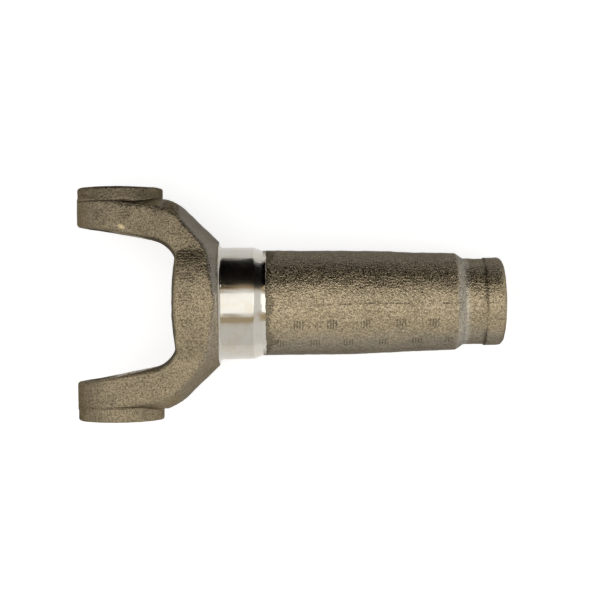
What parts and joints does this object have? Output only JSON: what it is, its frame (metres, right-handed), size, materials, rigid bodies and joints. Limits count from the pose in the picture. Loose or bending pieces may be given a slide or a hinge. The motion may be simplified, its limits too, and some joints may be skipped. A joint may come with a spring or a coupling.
{
  "type": "forged yoke",
  "caption": "Forged steel slip yoke in one piece: two bored ears on a fork, a turned neck and a long tapering barrel with a blind splined bore.",
  "frame": {"origin": "centre of the cross bore, halfway between the two ears", "axes": "+X along the barrel towards its open end, +Y along the cross bore, +Z square to both; Z = 0 is the parting plane of the forging"},
  "size_m": [0.1965, 0.107, 0.058],
  "materials": {
    "forged_steel": "as-forged skin, blasted and lightly oiled, with bright turned surfaces at the neck and in the bores"
  },
  "bodies": {
    "root": {"forged_yoke": "forged_steel"}
  },
  "joints": []
}
